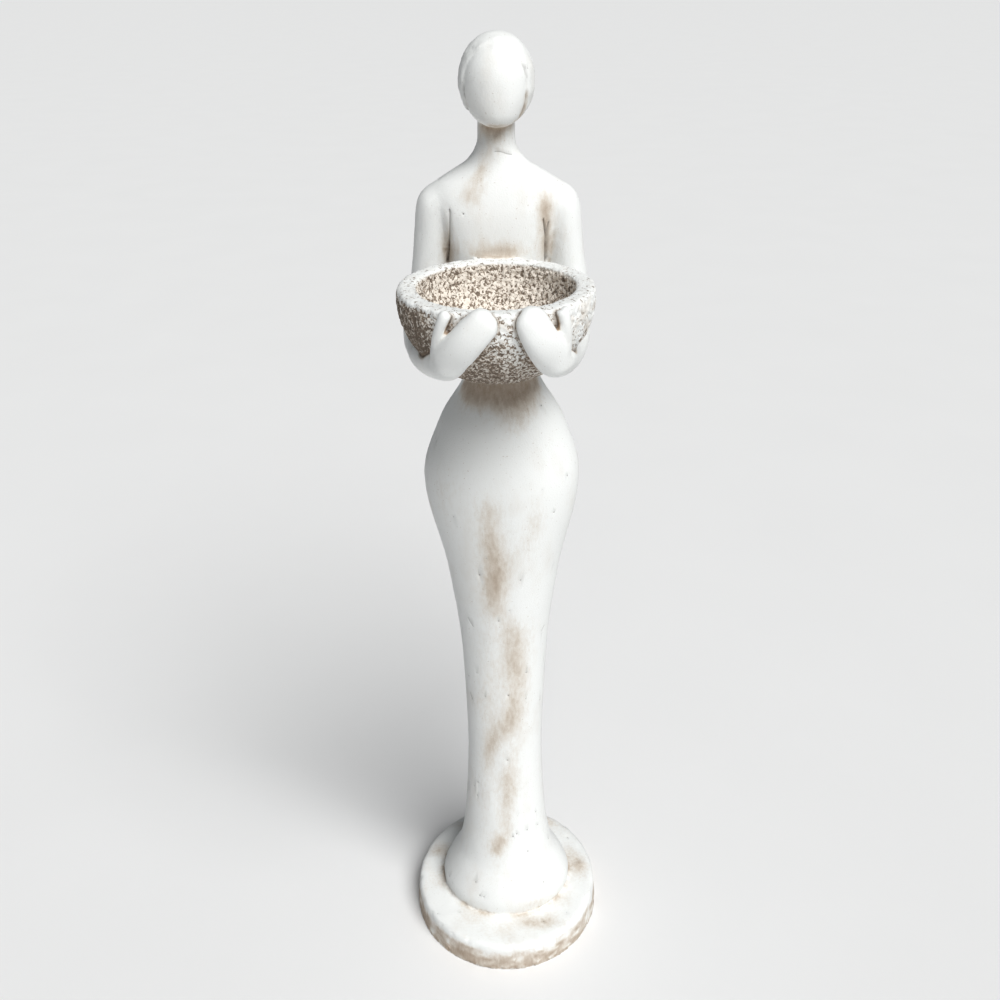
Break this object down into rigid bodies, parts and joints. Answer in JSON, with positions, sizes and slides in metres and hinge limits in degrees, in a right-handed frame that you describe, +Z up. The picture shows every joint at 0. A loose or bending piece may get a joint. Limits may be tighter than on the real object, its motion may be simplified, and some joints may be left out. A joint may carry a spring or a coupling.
{
  "type": "bird bath statue",
  "caption": "Tall garden statue of a plain, faceless woman on a round base who holds a rough, open bowl in front of her as a bird bath.",
  "frame": {"origin": "middle of the round base's underside, on the ground", "axes": "+Z up, -Y to the front, where the bowl is held, +X to the figure's left"},
  "size_m": [0.27, 0.3679, 1.1997],
  "materials": {
    "cast_stone": "matt whitewash over a brown patina"
  },
  "bodies": {
    "root": {"statue": "cast_stone"}
  },
  "joints": []
}
